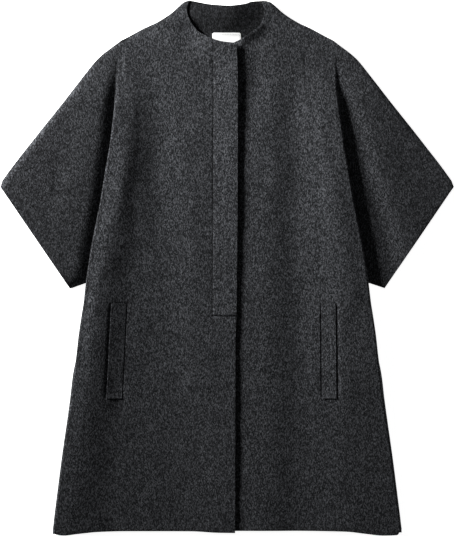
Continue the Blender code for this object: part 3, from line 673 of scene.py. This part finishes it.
def front_sheet(side, neck, lap_neck, stand, hem, centre, form, lap, grain, tall, puff, creases, phase):
    """Middle points and cut places of one front, [row, column, ...], nan where it has no cloth.
    Rows run from the centre front out over the body, through the fold and along the sleeve."""
    levels = np.linspace(0, 1, (len(YOKE_STARTS) - 1) * YOKE_CELLS + 1)
    yoke_downs = glide(levels, np.linspace(0, 1, len(YOKE_STARTS)), YOKE_STARTS)
    end = yoke_downs[-1]
    stops = (end, UNDERARM_DOWN, WELT_TOP, PLACKET_END, WELT_END, hem[-1, 1])
    body_downs = rows_through(*stops, fine=stops[2:5])[1:]
    downs = np.concatenate([yoke_downs, body_downs])
    roll_out, travel, drop, length, turn = fold_path(downs)
    yoke, neck_row = len(yoke_downs), NECK_START * YOKE_CELLS

    # Yoke: between the shoulder seam, the neck, the roll line and the first straight row.
    shoulder = np.vstack([neck[:1], SHOULDER[SHOULDER[:, 0] < roll_out[0]], [(roll_out[0], downs[0])]])
    columns = body_columns(end, grain, roll_out[yoke - 1])
    across = (columns - columns[0]) / (columns[-1] - columns[0])
    neck_points = along(neck, np.linspace(0, 1, neck_row + 1))
    seam_down = np.linspace(neck[-1, 1], end, yoke - neck_row)[1:]
    left = np.vstack([neck_points, np.stack([np.full(len(seam_down), neck[-1, 0]), seam_down], axis=1)])
    right = np.stack([roll_out, downs], axis=1)[:yoke]
    bottom = np.stack([columns, np.full(len(columns), end)], axis=1)
    yoke_part = patch(along(shoulder, across), bottom, left, right, levels, across)

    # Straight rows down to the hem; the last three bend to the hem line.
    rows = np.array([body_columns(down, grain, out) for down, out in zip(downs[yoke:], roll_out[yoke:])])
    level = downs[yoke:, None] + 0 * rows
    level[-1] = glide(rows[-1], hem[:, 0], hem[:, 1])
    level[-3:-1] += (level[-1] - downs[-1]) * np.array(HEM_BENDS)[:, None]
    main = np.concatenate([yoke_part, np.stack([rows, level], axis=2)])

    # Strip between the placket seam and the centre front edge.
    share = 1 - between_seams(0, STRIP_WIDE, STRIP_CELLS)[:-1] / STRIP_WIDE
    seam, level = main[:, :1, 0], main[:, :1, 1]
    strip = np.stack([seam + (read(centre, "edge", level) - seam) * share, level + 0 * share], axis=2)
    strip[:neck_row] = np.nan
    strip[neck_row] = along(lap_neck, share)
    follow = 1 - (np.arange(1, YOKE_CELLS) / YOKE_CELLS)[:, None]
    strip[neck_row + 1:neck_row + YOKE_CELLS, :, 1] += follow * (strip[neck_row, :, 1] - main[neck_row, 0, 1])
    strip[-1, :, 1] = glide(strip[-1, :, 0], hem[:, 0], hem[:, 1])
    body = np.concatenate([strip, main], axis=1)

    # Fold: each row's path leaves along the shoulder seam at the top and straight out lower down.
    level = np.concatenate([levels, np.ones(len(downs) - yoke)])[:, None]
    way = (1 - level) * SHOULDER_WAY + level * (1.0, 0.0)
    way = way / np.linalg.norm(way, axis=1, keepdims=True)
    fold = main[:, -1:] + travel[..., None] * way[:, None]
    drop = drop * read(tall, "tall", downs)[:, None]

    # Sleeve: between the overarm seam, the crease, the cuff and the underarm seam.
    arm = int(np.flatnonzero(downs == UNDERARM_DOWN)[0]) + 1
    crease = fold[:arm, -1]
    across = np.linspace(0, 1, SLEEVE_CELLS + 1) ** SLEEVE_SPREAD
    overarm = np.vstack([crease[:1], SHOULDER[SHOULDER[:, 0] > crease[0, 0]], [CUFF_TIP]])
    underarm = np.array([crease[-1], UNDERARM, CUFF_HEEL])
    cuff = np.linspace(CUFF_TIP, CUFF_HEEL, arm)
    sleeve = patch(
        along(overarm, across), along(underarm, across), crease, cuff, np.linspace(0, 1, arm), across)

    # Heights, from the sleeve up through the fold to the body. Below the underarm the returning
    # cloth ends on the back, where it is sewn.
    sleeve_z = sleeve_height(sleeve, puff, creases, phase)
    turned = ROLL_STEPS + RETURN_STEPS - 1
    roll_z = np.zeros(len(downs))
    roll_z[:arm] = sleeve_z[:, 0] + drop[:arm, -1]
    settle = smooth(1 - (downs[arm:] - UNDERARM_DOWN) / SIDE_SETTLES)
    settle = settle * (drop[arm - 1, -1] - drop[arm - 1, turned])
    roll_z[arm:] = WALL * (1 + np.abs(np.cos(turn[arm:])) / 2) + SEAM_GAP + settle + drop[arm:, turned]
    body_z = body_height(
        body, np.vstack([neck, lap_neck[1:]]), stand, form, lap, creases, phase, side,
        main[:, -1:, 0], roll_z[:, None]) - pocket_dip(body, grain)
    fold[arm:, turned + 1:] = np.nan
    body_count = body.shape[1]
    grid = np.full((len(downs), body_count + fold.shape[1] + SLEEVE_CELLS, 3), np.nan)
    grid[:, :body_count, :2] = body
    grid[:, :body_count, 2] = body_z
    grid[:, body_count:-SLEEVE_CELLS, :2] = fold
    grid[:, body_count:-SLEEVE_CELLS, 2] = roll_z[:, None] - drop
    grid[:arm, -SLEEVE_CELLS:, :2] = sleeve[:, 1:]
    grid[:arm, -SLEEVE_CELLS:, 2] = sleeve_z[:, 1:]

    # Places in the cut: the fold laid out, and the sleeve beyond it as it lies.
    cut = grid[..., :2].copy()
    cut[:, body_count:-SLEEVE_CELLS, 0] = main[:, -1:, 0] + length
    return grid, cut, downs


NECK_LEFT = np.array([
    (67.8, 0), (69, 6), (72, 14), (72, 26), (69, 38), (63.5, 49), (55, 57), (45, 64), (35, 70),
    (27, 75)], float)
LAP_NECK_LEFT = np.array([(27, 75), (19, 79), (3, 84), (-15, 84), (-34, 80)], float)
TALL_LEFT = table(          # how many times taller the fold and side edge stand than their lengths give
    "down tall", (60, 1.2), (165, 1.1), (222, 1.0), (280, 0.94), (400, 1.28), (540, 1.28), (600, 1.5),
    (740, 1.4), (850, 1.1), (1041, 0.9))
STAND_LEFT = (0.0, 2.0, 5.5)    # rise of the collar edge at the lap, at the side, and its own rim
CENTRE_LEFT = table("down edge", (80, -34), (1041, -34))
FORM_LEFT = table(
    "down crest_out crest trough_out trough flank_out flank ridge_out ridge",
    (60, 98, 7.2, 135, 6.6, 155, 6.4, 176, 6.2),
    (115, 92, 7.2, 134, 6.3, 158, 6.6, 182, 6.9),
    (165, 86, 7.6, 130, 6.0, 158, 7.6, 186, 9.4),
    (222, 82, 8.6, 126, 5.8, 158, 10.2, 188, 15.2),
    (271, 82, 8.8, 129, 5.6, 162, 10.0, 190, 14.8),
    (330, 86, 8.8, 136, 5.6, 168, 10.2, 202, 17.2),
    (388, 86, 8.8, 132, 5.5, 168, 11.0, 215, 19.6),
    (447, 84, 8.8, 130, 5.5, 170, 10.6, 226, 20.4),
    (505, 84, 8.8, 132, 5.5, 172, 9.6, 236, 20.0),
    (560, 84, 8.8, 136, 5.5, 172, 9.0, 242, 19.0),
    (614, 84, 8.8, 138, 5.5, 172, 8.8, 236, 17.4),
    (661, 84, 8.8, 140, 5.6, 174, 8.6, 230, 15.8),
    (739, 82, 8.8, 144, 5.6, 176, 8.2, 230, 14.0),
    (850, 82, 8.6, 146, 5.6, 180, 7.2, 230, 10.6),
    (1041, 82, 8.4, 142, 5.6, 182, 6.6, 236, 8.6))
LAP_LEFT = table(           # heights at the two lap places
    "down edge seam", (80, 5.2, 5.4), (165, 5.2, 5.2), (300, 5.3, 6.0), (450, 5.5, 6.2), (620, 5.5, 6.0),
    (740, 5.4, 6.2), (1041, 5.2, 6.4))
GRAIN_LEFT = table(         # out to the placket seam and to both sides of the welt's columns
    "down placket welt_in welt_out",
    (222, 27, 148, 178), (450, 28, 172, 200), (590, 28.5, 183, 211), (775, 29, 184.5, 213),
    (900, 29, 200, 234), (1041, 29, 220, 260))
CREASES_LEFT = (    # out and down of both ends, width, rise
    (262, 250, 330, 470, 16, 0.9),
    (300, 230, 372, 400, 14, -0.7),
    (250, 170, 300, 250, 13, 0.8),
    (50, 60, 95, 190, 14, 0.6),
    (-60, 78, 200, 92, 38, 3.2),
    (62, 40, 62, 225, 16, -1.5),
    (120, 640, 150, 860, 16, -0.5))

left_grid, left_cut, left_downs = front_sheet(
    LEFT, NECK_LEFT, LAP_NECK_LEFT, STAND_LEFT, HEM_LEFT, CENTRE_LEFT, FORM_LEFT, LAP_LEFT,
    GRAIN_LEFT, TALL_LEFT, LEFT_PUFF, CREASES_LEFT, 1.3)
# Its sleeve is painted a fifth darker than the body: painted shade.
front_left = cloth_piece(
    "front_left_cloth", left_grid, left_cut, LEFT, "front_left", wool("left front wool"),
    painted_shade=painted_sleeve_shade(left_grid, 0.20))

# ---------------------------------------------------------------------------------------------
# Right front. It mirrors the left one, ends at the centre front edge and laps over it. From the
# neck to below the waist it is cut back to the placket seam, where the fly band is sewn in.
NECK_RIGHT = np.array([
    (72.6, 0), (77, 8), (78.5, 18), (76.5, 29), (72, 39), (64, 51), (55, 61), (43, 68), (27, 75)], float)
LAP_NECK_RIGHT = np.array([(27, 75), (14, 79), (-3, 81.5), (-19, 83)], float)
TALL_RIGHT = table(
    "down tall", (60, 0.3), (165, 0.35), (222, 0.94), (400, 0.82), (470, 0.84), (540, 0.94), (640, 1.1),
    (733, 1.6), (820, 2.1), (1041, 2.3))
STAND_RIGHT = (0.8, -8.0, 0.0)
CENTRE_RIGHT = table(
    "down edge", (80, -19), (174, -21.4), (583, -19), (626, -17.6), (653, -16.3), (1041, -15.3))
FORM_RIGHT = table(
    "down crest_out crest trough_out trough flank_out flank ridge_out ridge",
    (60, 75, 8.0, 140, 6.2, 160, 5.8, 190, 5.8),
    (115, 75, 8.6, 146, 5.8, 165, 5.8, 196, 6.9),
    (165, 75, 9.4, 146, 5.9, 166, 6.9, 197, 9.0),
    (222, 74, 9.8, 138, 5.8, 164, 8.6, 188, 13.6),
    (271, 72, 10.0, 133, 5.6, 161, 9.6, 199, 17.0),
    (330, 70, 10.2, 132, 5.6, 172, 10.6, 204, 18.2),
    (388, 66, 10.4, 130, 5.5, 176, 10.4, 211, 18.0),
    (447, 64, 10.4, 128, 5.5, 175, 9.0, 228, 18.0),
    (505, 62, 10.2, 124, 5.5, 178, 8.2, 242, 18.6),
    (583, 60, 9.6, 116, 5.4, 182, 7.8, 257, 18.6),
    (681, 58, 8.8, 108, 5.4, 190, 7.6, 267, 18.6),
    (739, 56, 8.2, 102, 5.4, 198, 7.5, 274, 18.2),
    (817, 54, 7.4, 96, 5.4, 204, 7.2, 284, 17.2),
    (895, 52, 7.0, 94, 5.4, 208, 6.8, 296, 16.0),
    (1041, 52, 6.8, 94, 5.4, 214, 6.2, 314, 14.0))
LAP_RIGHT = table(
    "down edge seam", (80, 13.4, 10.8), (165, 13.2, 10.4), (240, 12.6, 10.1), (330, 12.8, 10.2),
    (450, 12.4, 10.0), (560, 10.6, 9.8), (640, 10.4, 9.7), (740, 11.2, 9.5), (850, 11.4, 9.3),
    (1041, 10.2, 8.8))
GRAIN_RIGHT = table(
    "down placket welt_in welt_out",
    (222, 27, 152, 184), (450, 28, 180, 210), (590, 28.5, 195.5, 225), (775, 29, 205, 235.5),
    (900, 29, 218, 250), (1041, 29, 235, 270))
RIGHT_PUFF = dict(
    down=(90, 206), begin=(-3, -3), width=30, rise=(13.2, 10.2), settled=64, kept=10, steep=1.0, shallow=2.4)
CREASES_RIGHT = (
    (255, 230, 320, 420, 16, 0.8),
    (300, 260, 350, 440, 15, -0.6),
    (48, 130, 62, 220, 16, -0.6),
    (-60, 78, 215, 92, 38, 3.4),
    (96, 220, 120, 420, 18, 0.5),
    (142, 585, 170, 800, 18, -0.7),
    (60, 640, 84, 900, 20, 0.5))
PLACKET_GROOVE = (0.6, 1.6, 2.7)     # the dip along the band's side seam, at its end, and half width

right_grid, right_cut, right_downs = front_sheet(
    RIGHT, NECK_RIGHT, LAP_NECK_RIGHT, STAND_RIGHT, HEM_RIGHT, CENTRE_RIGHT, FORM_RIGHT, LAP_RIGHT,
    GRAIN_RIGHT, TALL_RIGHT, RIGHT_PUFF, CREASES_RIGHT, 4.1)
neck_row = NECK_START * YOKE_CELLS
placket_row = int(np.flatnonzero(right_downs == PLACKET_END)[0])
side_deep, end_deep, groove_half = PLACKET_GROOVE
strip_points = right_grid[neck_row:placket_row + 3, :STRIP_CELLS + 4]
side_seam = right_grid[neck_row:placket_row + 1, STRIP_CELLS, :2]
end_seam = right_grid[placket_row, :STRIP_CELLS + 1, :2]
side_near, end_near = (
    np.clip(1 - distance(strip_points[..., :2], seam) / groove_half, 0, 1)
    for seam in (side_seam, end_seam))
strip_points[..., 2] -= np.maximum(side_deep * side_near, end_deep * end_near)
notched = right_grid.copy()
notched[neck_row:placket_row, :STRIP_CELLS] = np.nan
notched[neck_row:placket_row + 1, STRIP_CELLS, 0] += SEAM_GAP / 2
notched[placket_row, :STRIP_CELLS + 1, 1] += SEAM_GAP / 2
# Its sleeve is painted about an eighth darker than the body: painted shade.
front_right = cloth_piece(
    "front_right_cloth", notched, right_cut, RIGHT, "front_right", wool("right front wool"),
    painted_shade=painted_sleeve_shade(right_grid, 0.12))

# ---------------------------------------------------------------------------------------------
# Fly placket. A straight double band of the same wool, sewn to the right front down its inner
# side and across its lower end. The buttons are hidden behind it.
PLACKET_PROUD, PLACKET_RUN, PLACKET_EASE = 1.8, 18.0, 24.0     # the band's lower end lies proud
PLACKET_TONE = 1.20
placket_grid = right_grid[neck_row:placket_row + 1, :STRIP_CELLS + 1].copy()
placket_cut = right_cut[neck_row:placket_row + 1, :STRIP_CELLS + 1]
placket_grid[:, -1, 0] -= SEAM_GAP / 2
placket_grid[-1, :, 1] -= SEAM_GAP / 2
from_end, from_seam = PLACKET_END - placket_grid[..., 1], placket_grid[:, -1:, 0] - placket_grid[..., 0]
proud = smooth(1 - from_end / PLACKET_RUN) * smooth(from_seam / PLACKET_EASE)
placket_grid[..., 2] += PLACKET_PROUD * proud
placket = cloth_piece(
    "fly_placket_cloth", placket_grid, placket_cut, RIGHT, "fly_placket",
    wool("placket wool", PLACKET_TONE))

# ---------------------------------------------------------------------------------------------
# Pocket welts. Narrow double bands lying on the fronts, sewn down at both ends and along the
# inner side. The outer side is the pocket's mouth and stands a little open.
WELT_THICK = 2.0
WELT_MOUTH = 0.3            # how far the open side stands off


def welt_sheet(grid, cut, downs):
    """The front's own points between the welt's sides and ends, raised on to it, and more towards
    the open side, by the square of the share across."""
    first, last = (int(np.flatnonzero(downs == down)[0]) for down in (WELT_TOP, WELT_END))
    inner = STRIP_CELLS + CHEST_CELLS
    rows, columns = slice(first, last + 1), slice(inner, inner + WELT_CELLS + 1)
    welt = grid[rows, columns].copy()
    open_side = np.linspace(0, 1, WELT_CELLS + 1) ** 2
    welt[..., 2] += WALL / 2 + SEAM_GAP + WELT_THICK / 2 + WELT_MOUTH * open_side
    return welt, cut[rows, columns]


for name, grid, cut, downs, side, front in (
        ("right", right_grid, right_cut, right_downs, RIGHT, front_right),
        ("left", left_grid, left_cut, left_downs, LEFT, front_left)):
    welt_grid, welt_cut = welt_sheet(grid, cut, downs)
    welt = cloth_piece(
        f"welt_{name}_cloth", welt_grid, welt_cut, side, f"welt_{name}", wool(f"{name} welt wool"),
        WELT_THICK)

# ---------------------------------------------------------------------------------------------
# Stitching. Dark thread, one row in the ditch of the placket's seam and across its lower end, and
# one across each end of the welts.
STITCH_LONG, STITCH_STEP = 3.2, 5.0
STITCH_WIDE, STITCH_HIGH = 0.7, 0.35
STITCH_SPAN = 0.5           # a stitch points from this far before its middle to this far after
THREAD_TURNS = 700.0


def thread(name, grey):
    """Twisted thread: fine turns of light and dark along it."""
    material, new, join, shader = finish(name, {"Roughness": 0.6})
    place = new("ShaderNodeTexCoord")
    twist = new("ShaderNodeTexWave")
    twist.bands_direction = "DIAGONAL"
    twist.inputs["Scale"].default_value = THREAD_TURNS
    join(place.outputs["Object"], twist.inputs["Vector"])
    turns = ramped(new, join, twist.outputs["Fac"], [(0.0, [0.6 * grey] * 3), (1.0, [grey] * 3)])
    join(turns, shader.inputs["Base Color"])
    return material


def stitched(name, lines, side, lift, material):
    """One mesh of all stitches along some lines of points. A stitch is a bead with two ends, two
    sides, a top and a bottom, laid along the line at even steps and raised by lift."""
    centres, ways = [], []
    for line in lines:
        length = np.concatenate([[0], np.cumsum(np.linalg.norm(np.diff(line, axis=0), axis=1))])
        count = int(length[-1] // STITCH_STEP)
        at = (np.arange(count) + 0.5) * length[-1] / count
        before, after = (
            np.stack([np.interp(at + more, length, line[:, k]) for k in range(3)], axis=1)
            for more in (-STITCH_SPAN, STITCH_SPAN))
        centres.append((before + after) / 2)
        ways.append(after - before)
    centre, way = np.concatenate(centres), np.concatenate(ways)
    way = way / np.linalg.norm(way, axis=1, keepdims=True)
    across = np.stack([-way[:, 1], way[:, 0], 0 * way[:, 0]], axis=1)
    up = np.array([0.0, 0.0, 1.0]) + 0 * way
    centre = centre + lift * up
    corners = np.stack([
        centre - way * STITCH_LONG / 2, centre + way * STITCH_LONG / 2,
        centre - across * STITCH_WIDE / 2, centre + across * STITCH_WIDE / 2,
        centre - up * STITCH_HIGH, centre + up * STITCH_HIGH], axis=1)
    corners = corners * (side, -1, 1) + (0, COAT_TOP, 0)
    turns = np.array([(1, 3, 5), (3, 0, 5), (0, 2, 5), (2, 1, 5), (3, 1, 4), (0, 3, 4), (2, 0, 4), (1, 2, 4)])
    faces = np.arange(len(centre))[:, None, None] * 6 + (turns if side == LEFT else turns[:, ::-1])
    mesh = bpy.data.meshes.new(name)
    mesh.from_pydata((corners.reshape(-1, 3) * MM).tolist(), [], faces.reshape(-1, 3).tolist())
    mesh.materials.append(material)
    mesh.shade_smooth()
    stitches = added(name, mesh)
    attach(stitches, "root")
    return stitches


def welt_ends(grid, cut, downs):
    """Two lines across the welt, just inside its upper and lower ends."""
    welt, _ = welt_sheet(grid, cut, downs)
    return [welt[1], welt[-2]]


dark_thread = thread("dark thread", 0.008)
ditch = np.concatenate([placket_grid[:, -1], placket_grid[-1, -2::-1]])
stitched("placket_stitches", [ditch], RIGHT, WALL / 2, dark_thread)
for name, lines, side in (
        ("right", welt_ends(right_grid, right_cut, right_downs), RIGHT),
        ("left", welt_ends(left_grid, left_cut, left_downs), LEFT)):
    stitched(f"welt_{name}_stitches", lines, side, WELT_THICK / 2, dark_thread)

# ---------------------------------------------------------------------------------------------
# Label. A blank white woven tape, cut off at its upper corners, sewn inside the back collar.
LABEL_SIZE = (56.0, 28.0, 0.6)
LABEL_CUT = 1.8             # size of the corners cut off
LABEL_MIDDLE = (1.2, 76.4)
LABEL_BOW = 0.5
LABEL_EDGE = 0.15
LABEL_RIBS, LABEL_BUMP, LABEL_DEEP = 420.0, 0.25, 0.0002


def label_sheet():
    """A rectangle whose upper corners are cut off and whose middle bows up by 1 - share^2."""
    wide, tall, thick = LABEL_SIZE
    across = np.linspace(-1, 1, 21)
    down = np.linspace(-1, 1, 11)[:, None]
    corner = LABEL_CUT * np.clip((np.abs(across) - (1 - 2 * LABEL_CUT / wide)) * wide / 2 / LABEL_CUT, 0, 1)
    out = LABEL_MIDDLE[0] - across * wide / 2 + 0 * down
    top = corner * (1 - down) / 2
    low = LABEL_MIDDLE[1] + down * tall / 2 + top
    height = WALL + SEAM_GAP + thick / 2 + LABEL_BOW * (1 - across ** 2) + collar_lift(-out, low)
    return np.stack([out, low, height], axis=-1)


def tape(name):
    """White satin tape with a fine rib across it."""
    material, new, join, shader = finish(
        name, {"Base Color": (0.86, 0.86, 0.85, 1.0), "Roughness": 0.55, "Sheen Weight": 0.2})
    cut = new("ShaderNodeAttribute")
    cut.attribute_name = "cut"
    rib = new("ShaderNodeTexWave")
    rib.bands_direction = "Y"
    rib.inputs["Scale"].default_value = LABEL_RIBS
    rib.inputs["Distortion"].default_value = 0.4
    join(cut.outputs["Vector"], rib.inputs["Vector"])
    embossed(new, join, shader, rib.outputs["Fac"], LABEL_BUMP, LABEL_DEEP)
    return material


grid = label_sheet()
label = cloth_piece(
    "label_tape", grid, grid[..., :2], RIGHT, "label", tape("label tape"), LABEL_SIZE[2], LABEL_EDGE)
sides = [grid[1, 1:-1], grid[1:, 1], grid[1:, -2]]
white_thread = thread("white thread", 0.6)
stitched("label_stitches", sides, RIGHT, LABEL_SIZE[2] / 2, white_thread)
